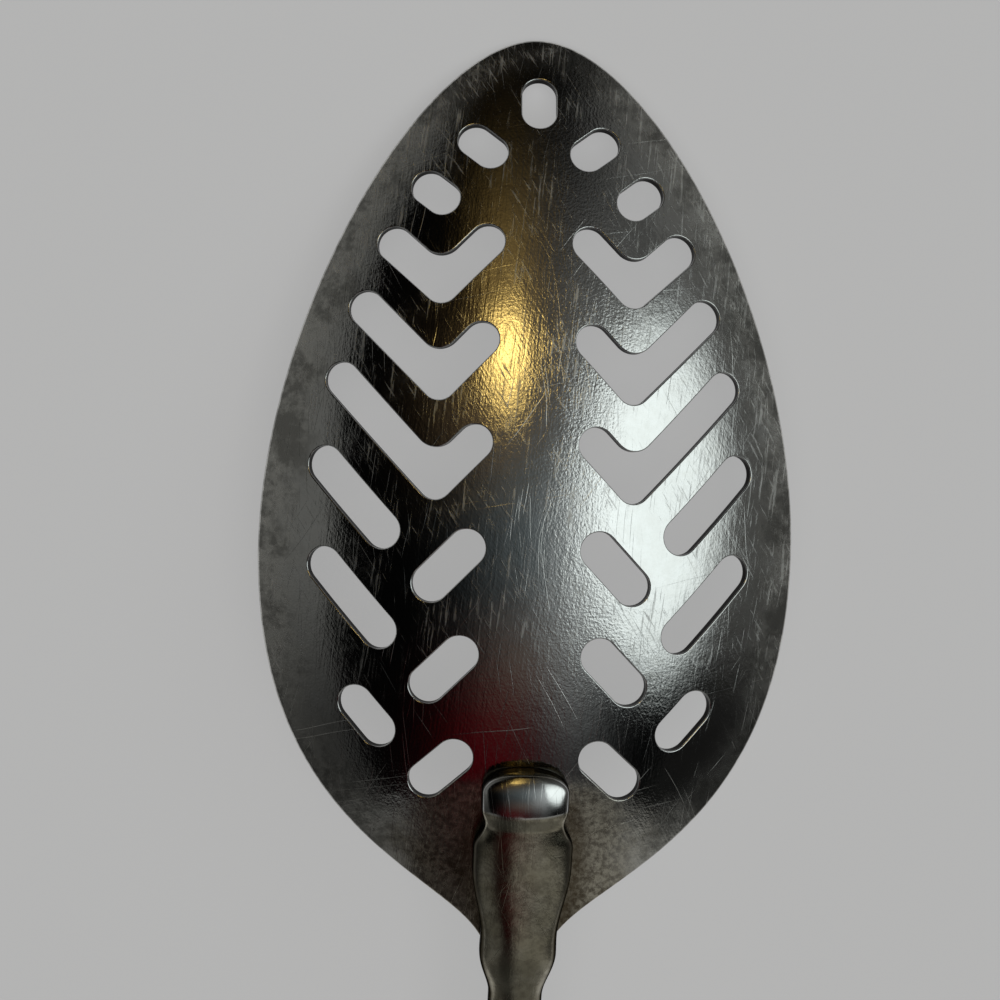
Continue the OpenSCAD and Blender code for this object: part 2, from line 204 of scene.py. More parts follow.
def addNode(tree, kind, *inputs, named=None, out="", **settings):
    # adds a node with its settings, sets or links its inputs in order or by name, and gives one output
    if kind in nodeKinds:
        kind, setting, choice = nodeKinds[kind]
        settings[setting] = choice
    node = tree.nodes.new("ShaderNode" + kind)
    for setting, choice in settings.items():
        setattr(node, setting, choice)
    wanted = list(zip([socket for socket in node.inputs if socket.enabled], inputs))
    wanted += [(node.inputs[name], value) for name, value in (named or {}).items()]
    for socket, value in wanted:
        if isinstance(value, bpy.types.NodeSocket):
            tree.links.new(value, socket)
        else:
            socket.default_value = value
    return next((socket for socket in node.outputs if socket.enabled and out in ("", socket.name)), None)


def together(put, kind, first, *others):
    # one operation over several values in turn
    for other in others:
        first = put(kind, first, other)
    return first


def weighted(put, *parts):
    # sum of patterns, each times its amount
    return together(put, "add", *[put("multiply", *part) for part in parts])


def layered(put, base, *coats):
    # coats over a base colour: where each lies, how strong it is, and its colour
    for where, strength, tone in coats:
        base = put("blend", put("multiply", where, strength), base, tone)
    return base


def startTree(owner):
    # empties the owner's node tree, and gives what puts nodes into it
    owner.use_nodes = True
    owner.node_tree.nodes.clear()
    return functools.partial(addNode, owner.node_tree)


def startMaterial(name):
    # the material, what puts nodes into it, and Object coordinates turned back into the bowl's frame, in mm
    material = bpy.data.materials.new(name)
    put = startTree(material)
    origin = -(mathutils.Matrix.Rotation(restTilt, 3, "X") @ mathutils.Vector(restShift))
    source = put("TexCoord", out="Object")
    return material, put, put("Mapping", source, origin, (restTilt, 0, 0), (1000, 1000, 1000))


def readMarks(put, *marks):
    return (put("Attribute", out="Fac", attribute_name=mark) for mark in marks)


def clouds(put, place, size, detail=3.0, rough=0.55, shift=0.0):
    # noise whose blotches are about size mm across
    moved = put("VectorMath", place, (shift, shift, shift))
    return put("TexNoise", moved, 0.5 / size, detail, rough)


def runAlong(put, place, turn, size):
    # distance along a direction in the bowl's plane, in steps of size mm
    turn = math.radians(turn)
    return put("dot", place, (math.cos(turn) / size, math.sin(turn) / size, 0))


def streaks(put, place, turn, width, length, shift):
    # noise drawn out along a direction: the fine lines that polishing and scouring leave
    across = runAlong(put, place, turn + 90, width)
    drawn = put("CombineXYZ", across, runAlong(put, place, turn, length), shift)
    return clouds(put, drawn, 1.0, 2.0, 0.6)


# Rows of hairlines: turn in degrees, gap between the rows and length in mm, and share of cells that hold a
# line. They are about half a pixel wide, more than real ones, so that they show
hairlineHalf = 0.037
hairlineRows = [
    (88, 0.4, 9.0, 0.5),
    (97, 0.5, 14.0, 0.45),
    (78, 0.6, 8.0, 0.4),
    (121, 0.8, 13.0, 0.3),
    (55, 1.0, 15.0, 0.3),
    (12, 1.3, 18.0, 0.3),
]


def scratches(put, place, turn, gap, length, share, seed):
    # straight hairlines: rows a gap apart are cut into cells, and a share of the cells holds one line,
    # at a random place, leaning a little, of a random depth and tapered to its ends
    across = runAlong(put, place, turn + 90, gap)
    row = put("floor", across)
    start = put("TexWhiteNoise", put("add", row, seed), noise_dimensions="1D")
    run = put("add", runAlong(put, place, turn, length), put("multiply", start, 9.7))
    cell = put("CombineXYZ", row, put("floor", run), seed)
    dice = put("TexWhiteNoise", cell, out="Color")
    slant, middle, chosen = put("SeparateXYZ", dice).node.outputs
    fromMiddle = put("subtract", put("fract", run), 0.5)
    lean = put("multiply", put("subtract", slant, 0.5), fromMiddle)
    centre = together(put, "add", lean, 0.25, put("multiply", middle, 0.5))
    off = put("subtract", put("fract", across), centre)
    line = put("fade", put("absolute", off), hairlineHalf / gap, 0.0)
    ends = put("fade", put("absolute", fromMiddle), 0.46, 0.1)
    return together(put, "multiply", line, ends, put("fade", chosen, share, 0.1 * share))


def allScratches(put, place, rows, patch):
    # layers of hairlines, at most 7 of them, bent a little and strongest in patches of about patch mm
    wander = put("TexNoise", place, 0.05, 1.0, out="Color")
    bent = put("VectorMath", wander, (3, 3, 3), place, operation="MULTIPLY_ADD")
    layers = []
    for number, row in enumerate(rows):
        lines = scratches(put, bent, *row, 3.0 + 7 * number)
        patches = put("fade", clouds(put, place, patch, 2.0, 0.6, 31 * number), 0.4, 0.6)
        layers.append(put("multiply", lines, patches))
    return together(put, "maximum", *layers)


def relief(put, *parts):
    # bump from patterns, each with its height in mm
    return put("Bump", 1.0, 0.001, named={"Height": weighted(put, *parts)})


def finishMetal(put, base, rough, normal, edge=(1, 1, 1, 1)):
    # edge tints what the metal mirrors at a grazing angle
    put("OutputMaterial", put("BsdfPrincipled", named={
        "Base Color": base, "Metallic": 1.0, "Roughness": rough, "Normal": normal, "Specular Tint": edge,
    }))


# Noises: size in mm, detail, roughness and shift. Reaches in mm, from none to full
sheetLook = {
    "noises": [
        (9.0, 2.0, 0.5),  # waves of the pressing
        (1.1, 3.0, 0.6, 55.0),  # dents
        (3.2, 5.0, 0.62, 17.0),  # water film
        (0.7, 5.0, 0.75, 40.0),  # mottle
        (0.16, 2.0, 0.6, 90.0),  # grain
        (0.38, 4.0, 0.75, 23.0),  # grit in the stain
        (0.35, 4.0, 0.7, 66.0),  # fine wear
    ],
    "upright": (84, 0.14, 2.6, 3.0),
    "slanting": (122, 0.16, 2.0, 8.0),
    "ragged": 9.0,
    "crownPlace": 6.0,
    "crownReach": (3.0, -3.0),
    "heelReach": (-32.0, -17.0),
    "rimReach": (6.5, 1.5),
    "stainReach": (12.0, 4.0),
    # heat tint round the weld, also used as painted contact shade on the bowl right next to the shank
    "heatTintShadeReach": (3.2, 0.4),
    "steel": ("#d0d1d1", "#b9b8b4"),
    "rim": ("#94938f", "#e0dfdb"),
    "stain": ("#665840", "#cdc5b2"),
    "heatTintShade": ("#3a2b18", "#6d5a38"),
    # nearly black walls of rim and slots: painted shade
    "cut": "#161412",
}


def polishedSteel():
    # Stainless sheet, pressed and mirror polished, then years of use: a dark clear mirror with fine
    # scratches and a water film, rubbed along its crown, worn duller at the rim and stained round the weld.
    # Painted shade: a dark heat-tint band hugging the shank that also stands for its contact shadow, and
    # the walls of rim and slots painted nearly black
    material, put, place = startMaterial("polishedStainless")
    look = sheetLook
    rim, weld, cut = readMarks(put, "rim", "weld", "cut")
    waves, dents, film, mottle, grain, grit, fine = (clouds(put, place, *row) for row in look["noises"])
    mottle = put("fade", mottle, 0.3, 0.7)
    grit = put("fade", grit, 0.38, 0.62)
    upright = streaks(put, place, *look["upright"])
    slanting = streaks(put, place, *look["slanting"])
    lines = allScratches(put, place, hairlineRows, 5.0)
    across, lengthwise = put("SeparateXYZ", place).node.outputs[:2]
    fromCrown = put("absolute", put("subtract", across, look["crownPlace"]))
    crown = put("fade", weighted(put, (fromCrown, 1.0), (film, -look["ragged"])), *look["crownReach"])
    used = put("fade", lengthwise, *look["heelReach"])
    rubbed = together(put, "multiply", crown, used, grain)
    uneven = put("multiply", put("subtract", film, 0.5), look["ragged"])
    band = put("fade", put("add", rim, uneven), *look["rimReach"])
    stain = put("fade", put("add", weld, uneven), *look["stainReach"])
    # dark band hugging the shank: real heat tint and painted contact shade
    heatTintShade = put("fade", weighted(put, (weld, 1.0), (uneven, 0.4)), *look["heatTintShadeReach"])
    cloudy = put("fade", weighted(put, (film, 1.0), (mottle, 0.25)), 0.45, 0.75)
    steel, worn = map(colour, look["steel"])
    base = layered(
        put, steel, (mottle, 0.3, worn),
        (band, 0.8, put("blend", cloudy, *map(colour, look["rim"]))),
        (stain, 0.75, put("blend", grit, *map(colour, look["stain"]))),
        (heatTintShade, 0.6, put("blend", film, *map(colour, look["heatTintShade"]))),
        # walls of rim and slots painted nearly black: painted shade; their higher roughness is the cut
        # steel's own
        (cut, 1.0, colour(look["cut"])),
    )
    patchy = put("fade", film, 0.35, 0.75)
    veil = together(put, "multiply", patchy, put("fade", fine, 0.3, 0.7, 0.4, 1.0), used)
    scour = put("maximum", put("fade", upright, 0.55, 0.7), put("fade", slanting, 0.57, 0.72))
    scour = together(put, "multiply", put("fade", film, 0.3, 0.6), used, scour)
    dull = put("maximum", put("multiply", band, 0.14), put("multiply", stain, 0.2))
    clear = put("fade", veil, 0.0, 1.0, 0.06, 0.2)
    rough = weighted(put, (clear, 1.0), (scour, 0.3), (lines, 0.17), (dull, 1.0))
    rough = put("maximum", rough, put("multiply", cut, 0.45))
    finishMetal(put, base, rough, relief(
        put, (waves, 0.012), (dents, 0.018), (grain, 0.01), (rubbed, 0.02), (upright, 0.012),
        (slanting, 0.009), (lines, -0.006),
    ))
    return material


barLook = {
    "noises": [
        (2.4, 4.0, 0.6),  # film
        (0.55, 5.0, 0.72, 40.0),  # pores
        (0.2, 2.0, 0.6, 71.0),  # grain
    ],
    "satin": ("#a8a28f", "#bcb7a7"),
    "speck": "#7f786a",
    "polished": "#d0d1d1",
    # flanks and nose front: forging skin, darkened further as painted shade, with what they mirror at a
    # grazing angle tinted dark
    "flankSkinShade": "#4b4842",
    "flankShadeEdge": "#3c3a36",
}


def satinSteel():
    # Forged stainless bar, coined in a die and tumbled: a satin olive grey with mottled oxide in its pores,
    # flanks and a nose front that keep the forging skin and are darkened further with painted shade, and a
    # nose that the polishing wheel reached
    material, put, place = startMaterial("coinedStainless")
    look = barLook
    polish, flankSkinShade = readMarks(put, "polish", "flankSkinShade")
    film, pores, grain = (clouds(put, place, *row) for row in look["noises"])
    lines = allScratches(put, place, hairlineRows[:5], 4.0)
    satin, pale = map(colour, look["satin"])
    base = layered(
        put, satin, (put("fade", film, 0.35, 0.65), 1.0, pale),
        (put("fade", pores, 0.42, 0.62), 0.5, colour(look["speck"])),
        # dark flanks and nose front: forging skin and painted shade
        (polish, 1.0, colour(look["polished"])), (flankSkinShade, 0.9, colour(look["flankSkinShade"])),
    )
    rough = weighted(put, (put("fade", pores, 0.3, 0.7, 0.14, 0.24), 1.0), (lines, 0.12))
    rough = put("Mix", polish, rough, put("fade", film, 0.35, 0.65, 0.07, 0.16))
    rough = weighted(put, (rough, 1.0), (lines, 0.1))
    rough = put("maximum", rough, put("multiply", flankSkinShade, 0.3))
    deep = put("multiply", pores, put("subtract", 1.0, polish))
    # dark tint of what the flanks mirror at a grazing angle: painted shade
    edge = put("blend", flankSkinShade, colour("#ffffff"), colour(look["flankShadeEdge"]))
    bump = relief(put, (film, 0.01), (deep, 0.03), (grain, 0.004), (lines, -0.005))
    finishMetal(put, base, rough, bump, edge)
    return material


plasticLook = {
    "bloom": (7.0, 5.0, 0.6),
    "fleck": (0.35, 2.0, 0.6, 30.0),
    "black": "#171615",
    "bloomed": "#24221f",
    "flecked": "#2e2b27",
    "scratched": "#4a4640",
}


def mouldedPhenolic():
    # Black phenolic, compression moulded and dishwashed: semi-gloss with a faint grey bloom and fine wear
    material, put, place = startMaterial("mouldedPhenolic")
    look = plasticLook
    bloom = put("fade", clouds(put, place, *look["bloom"]), 0.4, 0.7)
    fleck = put("fade", clouds(put, place, *look["fleck"]), 0.55, 0.75)
    lines = allScratches(put, place, hairlineRows[::2], 8.0)
    base = layered(
        put, colour(look["black"]), (bloom, 0.6, colour(look["bloomed"])),
        (fleck, 0.4, colour(look["flecked"])), (lines, 0.35, colour(look["scratched"])),
    )
    rough = put("add", weighted(put, (bloom, 0.14), (lines, 0.12)), 0.3)
    put("OutputMaterial", put("BsdfPrincipled", named={
        "Base Color": base,
        "Roughness": rough,
        "IOR": 1.6,
        "Normal": relief(put, (fleck, 0.005), (lines, -0.008)),
    }))
    return material


def nickelPlate():
    # Nickel-plated rivets and eyelet, pressed and barrel polished: warm bright metal with hairlines
    material, put, place = startMaterial("nickelPlate")
    film = put("fade", clouds(put, place, 1.6, 4.0, 0.6), 0.35, 0.7)
    lines = allScratches(put, place, hairlineRows[1::2], 3.0)
    base = put("blend", film, colour("#c3bfb6"), colour("#a9a499"))
    rough = weighted(put, (put("fade", film, 0.0, 1.0, 0.14, 0.24), 1.0), (lines, 0.15))
    finishMetal(put, base, rough, relief(put, (lines, -0.004)))
    return material


# Bowl

bowl = {
    "width": 66.3,
    "length": 110.0,
    "sheet": 1.1,
    "sideRadius": 60.0,
    "longRadius": 150.0,
    "tipCurve": [[0, 1], [0.418, 1], [1, 0.354], [1, -0.155]],
    "neckCurve": [[1, -0.155], [1, -0.807], [0.239, -0.87], [0.126, -1.04]],
    "edgeRadius": 0.17,
    "rimRadius": 0.24,
    "edgeStep": 0.34,
    "gridStep": 0.95,
    "aheadOfNose": 1.3,
}

halfWidth = bowl["width"] / 2
halfLength = bowl["length"] / 2
sideRadius, longRadius = bowl["sideRadius"], bowl["longRadius"]
ringRadius = longRadius - sideRadius
neckAngle = math.asin(halfLength / longRadius)

# Right half of the slots, as shares of the bowl's half sizes: middle or corner of each, then length and
# slope of a straight one, and both lengths and slopes of a chevron. Slopes are in degrees
slots = {
    "width": 4.2,
    "longWidth": 4.5,
    "tongueRadius": 2.6,
    "tip": [0, 0.861, 0.075, 90],
    "small": [[0.208, 0.755, 0.075, 40], [0.38, 0.647, 0.069, 40]],
    "outer": [[0.666, -0.04, 0.321, 46], [0.666, -0.267, 0.309, 46], [0.595, -0.535, 0.121, 46]],
    "inner": [[0.304, -0.184, 0.184, -46], [0.312, -0.414, 0.166, -46], [0.312, -0.641, 0.138, -44]],
    "chevrons": [
        [0.352, 0.431, 0.243, 42.8, 0.232, 45.4],
        [0.354, 0.216, 0.393, 44.6, 0.217, 46.2],
        [0.362, -0.002, 0.51, 45.6, 0.203, 45.8],
    ],
}


def domeHeight(xy, depth):
    # z = sqrt((Rl - Rs + sqrt((Rs - depth)^2 - x^2))^2 - y^2) - Rl
    side = np.sqrt((sideRadius - depth) ** 2 - xy[:, 0] ** 2)
    return np.sqrt((ringRadius + side) ** 2 - xy[:, 1] ** 2) - longRadius


def domeParts(p):
    # vectors and distances from the dome's ring-shaped centre line to each point
    y, z = p[:, 1], p[:, 2] + longRadius
    far = np.hypot(y, z)
    lift = (far - ringRadius) / far
    away = np.stack([p[:, 0], y * lift, z * lift], 1)
    return away, np.linalg.norm(away, axis=1)


def edgeProfile(radius):
    # rounded edge, wall, rounded edge: inset into the metal, depth under the back and turn of the normal
    sheet = bowl["sheet"]
    turns = np.linspace(0, quarter, 5)
    upper = [(radius * (1 - math.sin(turn)), radius * (1 - math.cos(turn)), turn) for turn in turns]
    lower = [(inset, sheet - depth, math.pi - turn) for inset, depth, turn in upper[::-1]]
    middle = [(0, k * sheet, quarter) for k in (0.35, 0.65)]
    return upper + middle + lower


def slotRings(place, flat, metal):
    # edge, wall and edge of one slot: rings of its outline, carried along the slot's axis onto the dome
    v, u = place[1] * halfLength / longRadius, place[0] * halfWidth / sideRadius
    out = np.array([math.sin(u), math.cos(u) * math.sin(v), math.cos(u) * math.cos(v)])
    across = np.array([math.cos(u), -math.sin(u) * math.sin(v), -math.sin(u) * math.cos(v)])
    forward = np.array([0, math.cos(v), -math.sin(v)])
    centre = sideRadius * out + ringRadius * np.array([0, math.sin(v), math.cos(v)])
    centre[2] -= longRadius
    metalWay = metal[:, :1] * across + metal[:, 1:] * forward
    rings, normals = [], []
    for inset, depth, turn in edgeProfile(bowl["edgeRadius"]):
        xy = flat + inset * metal
        p = centre + xy[:, :1] * across + xy[:, 1:] * forward
        for _ in range(5):
            away, distance = domeParts(p)
            p = p + (sideRadius - distance - depth)[:, None] * out
        away, distance = domeParts(p)
        rings.append(p)
        normals.append(math.cos(turn) * away / distance[:, None] - math.sin(turn) * metalWay)
    return np.array(rings), np.array(normals)


def wayAt(angle):
    return np.stack([np.cos(angle), np.sin(angle)], -1)


def arcsLoop(arcs):
    # closed outline of arcs joined by straight lines, with unit vectors into the metal.
    # each arc: centre, radius, start and end angle, 1 for an outer corner and -1 for the tongue
    step = bowl["edgeStep"]
    points, metal = [], []
    for i, (centre, radius, start, end, sense) in enumerate(arcs):
        angles = np.linspace(start, end, max(6, int(abs(end - start) * radius / step)))
        way = wayAt(angles)
        points.append(radius * way + centre)
        metal.append(sense * way)
        nextCentre, nextRadius, nextStart = arcs[(i + 1) % len(arcs)][:3]
        line = nextRadius * wayAt(nextStart) + nextCentre - points[-1][-1]
        count = int(np.linalg.norm(line) / step)
        if count > 1:
            share = np.linspace(0, 1, count, endpoint=False)[1:, None]
            points.append(points[-1][-1] + share * line)
            metal.append(np.repeat(metal[-1][-1:], count - 1, 0))
    return np.concatenate(points), np.concatenate(metal)


def straightSlot(place, width):
    length, slope = place[2] * halfWidth, math.radians(place[3])
    way = wayAt(slope) * length / 2
    flat, metal = arcsLoop([
        (way, width / 2, slope - quarter, slope + quarter, 1),
        (-way, width / 2, slope + quarter, slope + 3 * quarter, 1),
    ])
    return slotRings(place, flat, metal)


def chevronSlot(row):
    # two arms from a rounded corner, with a round tongue of metal between them
    across, forward, outer, outSlope, inner, backSlope = row
    radius, tongue = slots["width"] / 2, slots["tongueRadius"]
    out = math.radians(outSlope)
    back = math.pi - math.radians(backSlope)
    notch = wayAt((out + back) / 2) * (radius + tongue) / math.sin((back - out) / 2)
    flat, metal = arcsLoop([
        (wayAt(out) * outer * halfWidth, radius, out - quarter, out + quarter, 1),
        (notch, tongue, out - quarter, back - 3 * quarter, -1),
        (wayAt(back) * inner * halfWidth, radius, back - quarter, back + quarter, 1),
        ((0, 0), radius, back + quarter, out + 3 * quarter, 1),
    ])
    return slotRings((across, forward), flat, metal)


def bowlOutline():
    # right half from the tip to the neck by two cubic curves, then the left half back
    size = np.array([halfWidth, halfLength])
    right = np.concatenate([
        bezier(bowl["tipCurve"], 400) * size,
        bezier(bowl["neckCurve"], 400) * size,
        [bowl["neckCurve"][3] * size],
    ])
    left = right[:0:-1] * (-1, 1)
    return evenly(np.concatenate([right, left]), 1.2 * bowl["edgeStep"])


def rimRings(outline, metal):
    # the same edge, wall and edge round the outline, cut along Z
    rings, normals = [], []
    for inset, depth, turn in edgeProfile(bowl["rimRadius"]):
        xy = outline + inset * metal
        p = atHeight(xy, domeHeight(xy, depth))
        away, distance = domeParts(p)
        rings.append(p)
        normals.append(math.cos(turn) * away / distance[:, None] - math.sin(turn) * atHeight(metal, 0))
    return np.array(rings), np.array(normals)


def shankSide():
    # right side of the shank's plan over the bowl and a little past its end
    distance = np.linspace(0, shank["seat"] + 4, 120)
    angle = neckAngle - (shank["seat"] - distance) / longRadius
    return np.stack([shankHalf(distance), -longRadius * np.sin(angle)], 1)


def makeBowl(finish):
    # Marks for the finish, in mm: rim is the distance from the outline, and weld the one from the shank's
    # sides, larger ahead of its nose. The wall mark, sin(turn)^12, is 1 on the walls of rim and slots, where
    # the finish paints shade nearly black
    rightSide = [straightSlot(place, slots["width"]) for place in slots["small"]]
    rightSide += [straightSlot(place, slots["longWidth"]) for place in slots["outer"] + slots["inner"]]
    rightSide += [chevronSlot(row) for row in slots["chevrons"]]
    outline = bowlOutline()
    pairs = [rimRings(outline, intoMetal(outline)), straightSlot(slots["tip"], slots["width"])] + rightSide
    pairs += [(rings[:, ::-1] * (-1, 1, 1), normals[:, ::-1] * (-1, 1, 1)) for rings, normals in rightSide]
    stacks = [rings for rings, normals in pairs]

    def lift(xy, side):
        return atHeight(xy, domeHeight(xy, side * bowl["sheet"]))

    points, faces = piercedSheet(stacks, bowl["gridStep"], lift)
    away, distance = domeParts(points)
    normals = away / distance[:, None]
    skinCount = len(points) - sum(s[1:-1, :, 0].size for s in stacks)
    normals[:skinCount][distance[:skinCount] < sideRadius - bowl["sheet"] / 2] *= -1
    normals[skinCount:] = np.concatenate([n[1:-1].reshape(-1, 3) for rings, n in pairs])
    normals /= np.linalg.norm(normals, axis=1)[:, None]
    cut = np.zeros(len(points))
    turns = np.array([turn for inset, depth, turn in edgeProfile(1)])[1:-1]
    cut[skinCount:] = np.concatenate([np.repeat(np.sin(turns) ** 12, s.shape[1]) for s in stacks])
    side = shankSide()
    behindNose = side[side[:, 1] < side[0, 1] - shank["nose"]]
    weld = nearest(points[:, :2], np.concatenate([behindNose, behindNose * (-1, 1)]))
    weld += bowl["aheadOfNose"] * np.maximum(0, points[:, 1] - behindNose[0, 1])
    makePiece(
        "piercedBowl", "bowl", toRest(points), faces.tolist(), finish, turnToRest(normals),
        {"rim": nearest(points[:, :2], outline), "weld": weld, "cut": cut},
    )


# Handle

handle = {
    "length": 116.0,
    "width": 24.0,
    "frontWidth": 15.0,
    "scale": 5.4,
    "tang": 2.2,
    "faceGap": 0.05,
    "crown": 26.0,
    "pillow": 1.7,
    "frontRound": 3.348,
    "faceBlend": 0.25,
    "frontCurve": [[0, 0], [0.75, 0], [1, 0.004], [1, 0.03]],
    "sideCurve": [[0, 0.03], [0, 0.3], [1, 0.4], [1, 0.7]],
    "endCurve": [[1, 0.7], [1, 0.91], [0.64, 1], [0, 1]],
    "scaleInset": 0.14,
    "scaleBevel": 0.15,
    "tangInset": 0.125,
    "tangBevel": 0.12,
    "lip": 0.12,
    "rivets": [0.15, 0.64],
    "rivetHead": 7.0,
    "rivetHeadHeight": 1.4,
    "socket": 4.6,
    "post": 2.8,
    "eyeletBore": 6.2,
    "eyeletWall": 0.5,
    "flange": 11.0,
    "flangeHeight": 0.9,
    "eyeletInset": 12.0,
    "holeGap": 0.1,
}

stackBottom = -handle["faceGap"] - handle["scale"]
stackTop = handle["tang"] + handle["faceGap"] + handle["scale"]
endRadius = (stackTop - stackBottom) / 2
rivetPlaces = [share * handle["length"] for share in handle["rivets"]]
eyeletPlace = handle["length"] - handle["eyeletInset"]
rivetHole = handle["socket"] / 2 + handle["holeGap"]
eyeletHole = handle["eyeletBore"] / 2 + handle["eyeletWall"] + handle["holeGap"]

# Place along the handle, radius of the hole, and radius and depth of the seat for a head or flange
holes = [
    (at, rivetHole, handle["rivetHead"] / 2 + handle["holeGap"], handle["rivetHeadHeight"])
    for at in rivetPlaces
]
holes += [(eyeletPlace, eyeletHole, handle["flange"] / 2 + handle["holeGap"], handle["flangeHeight"])]


def handleOutline(inset):
    # front corner, swelling side and round end by three cubic curves, then the other half
    front = handle["frontWidth"] / 2 - inset
    swell = (handle["width"] - handle["frontWidth"]) / 2
    long = handle["length"] - inset
    right = np.concatenate([
        bezier(handle["frontCurve"], 60) * (front, long),
        bezier([[front + s[0] * swell, s[1] * long] for s in handle["sideCurve"]], 200),
        bezier(handle["endCurve"], 160) * (front + swell, long),
        [[0, long]],
    ])
    left = right[-2:0:-1] * (-1, 1)
    return evenly(np.concatenate([right, left])[::-1], 0.55)


def holeLoop(at, radius, step=0.35):
    angles = np.linspace(0, 2 * math.pi, max(36, int(2 * math.pi * radius / step)), endpoint=False)
    return radius * wayAt(angles) + (0, at), wayAt(angles)


def tangPlate():
    # flat tang with the handle's outline, pierced for the rivets and the eyelet
    bevel, thick = handle["tangBevel"], handle["tang"]
    profile = [(bevel, thick), (0, thick - bevel), (0, bevel), (bevel, 0)]
    outline = handleOutline(handle["tangInset"])
    loops = [(outline, intoMetal(outline))] + [holeLoop(at, hole) for at, hole, seat, depth in holes]
    stacks = [
        np.array([atHeight(loop + inset * metal, z) for inset, z in profile]) for loop, metal in loops
    ]

    def lift(xy, side):
        return atHeight(xy, thick * (1 - side))

    points, faces = piercedSheet(stacks, 2.4, lift)
    return fromHandle(points), faces


def scaleTop(xy):
    # lowest of the crowned face and the rounded front and end, blended over a small step
    blend, middle = handle["faceBlend"], handle["tang"] / 2
    crown = stackTop - handle["crown"] + np.sqrt(handle["crown"] ** 2 - xy[:, 0] ** 2)
    fromEnd = np.clip(endRadius - (handle["length"] - xy[:, 1]), 0, endRadius)
    end = middle + np.sqrt(endRadius ** 2 - fromEnd ** 2)
    radius = handle["frontRound"]
    fromFront = np.clip(radius - xy[:, 1], 0, radius)
    front = stackTop - radius + np.sqrt(radius ** 2 - fromFront ** 2)
    lowest = np.minimum(np.minimum(crown, end), front)
    total = sum(np.exp((lowest - part) / blend) for part in (crown, end, front))
    return lowest - blend * np.log(total)


def makeScale(name, node, upper, finish):
    # pillow-shaped scale: crowned face, edges rounded by r - sqrt(r^2 - (r - d)^2), flat inner face
    pillow, bevel, lip = handle["pillow"], handle["scaleBevel"], handle["lip"]
    inner = handle["tang"] + handle["faceGap"]
    outline = handleOutline(handle["scaleInset"])
    metal = intoMetal(outline)
    rings = []
    for turn in np.linspace(0, quarter, 9):
        xy = outline + pillow * (1 - math.sin(turn)) * metal
        height = scaleTop(xy) - pillow * (1 - math.cos(turn))
        rings.append(atHeight(xy, np.maximum(height, inner + 2 * bevel)))
    rings += [atHeight(outline, inner + bevel), atHeight(outline + bevel * metal, inner)]
    stacks = [np.array(rings)]
    for at, hole, seat, depth in holes:
        wide, metal = holeLoop(at, seat)
        narrow = (wide - (0, at)) * hole / seat + (0, at)
        rounded, outermost = wide + 0.3 * lip * metal, wide + lip * metal
        stacks.append(np.array([
            atHeight(outermost, scaleTop(outermost)),
            atHeight(rounded, scaleTop(rounded) - 0.3 * lip),
            atHeight(wide, scaleTop(wide) - lip),
            atHeight(wide, np.minimum(stackTop - depth, scaleTop(wide) - lip)),
            atHeight(narrow, stackTop - depth),
            atHeight(narrow, inner),
        ]))

    def lift(xy, side):
        return atHeight(xy, inner if side else scaleTop(xy))

    points, faces = piercedSheet(stacks, 1.1, lift)
    if not upper:
        points = points * (1, 1, -1) + (0, 0, handle["tang"])
        faces = faces[:, ::-1]
    points = toRest(fromHandle(points))
    makePiece(name, node, points, faces.tolist(), finish, sharp=50)


# Rivets and eyelet

def makeLathe(name, node, profile, at, finish, closed=False):
    # profile of (radius, z) turned round a hole's axis: closed ones are tubes, and open ones get flat ends
    r, z = np.array(profile, float).T[:, :, None]
    angle = np.linspace(0, 2 * math.pi, 72, endpoint=False)[None]
    rings = np.stack(np.broadcast_arrays(r * np.cos(angle), r * np.sin(angle) + at, z), -1)
    index = np.arange(rings[..., 0].size).reshape(rings.shape[:2])
    ends = [index[0, ::-1].tolist(), index[-1].tolist()]
    faces = quadsBetween(index[:-1], index[1:]).tolist()
    faces += quadsBetween(index[-1:], index[:1]).tolist() if closed else ends
    makePiece(name, node, toRest(fromHandle(rings.reshape(-1, 3))), faces, finish, sharp=35)


def mirrored(profile):
    # the same turned shape in the lower face, in reverse
    return [(r, stackBottom + stackTop - z) for r, z in profile[::-1]]


def makeRivet(name, at, finish):
    # a post with a head, and a tube with the same head in the lower face that the post enters. The head's
    # dome is a quarter oval from its rim to near its middle
    gap, headRadius, headHeight = handle["faceGap"], handle["rivetHead"] / 2, handle["rivetHeadHeight"]
    postRadius, socketRadius = handle["post"] / 2, handle["socket"] / 2
    corner, pinCorner = 0.1, 0.4 * postRadius
    pinBottom = stackBottom + 1.6 * headHeight
    headBottom = stackTop - headHeight + gap
    rise = 0.45 * headHeight
    turns = np.linspace(0, 0.48 * math.pi, 10)
    head = [(headRadius * math.cos(a), stackTop - rise + rise * math.sin(a)) for a in turns]
    post = [
        (0.8 * postRadius, pinBottom), (postRadius, pinBottom + pinCorner), (postRadius, headBottom),
        (headRadius - corner, headBottom), (headRadius, headBottom + corner),
    ] + head
    headTop = stackBottom + headHeight - gap
    tubeTop = stackTop - headHeight - handle["holeGap"]
    bore = postRadius + handle["holeGap"]
    socket = mirrored(head) + [
        (headRadius, headTop - corner), (headRadius - corner, headTop), (socketRadius, headTop),
        (socketRadius, tubeTop), (bore, tubeTop), (bore, stackBottom + 1.3 * headHeight),
    ]
    makeLathe(name + "Post", name + "_rivet_post", post, at, finish)
    makeLathe(name + "Socket", name + "_rivet_socket", socket, at, finish)


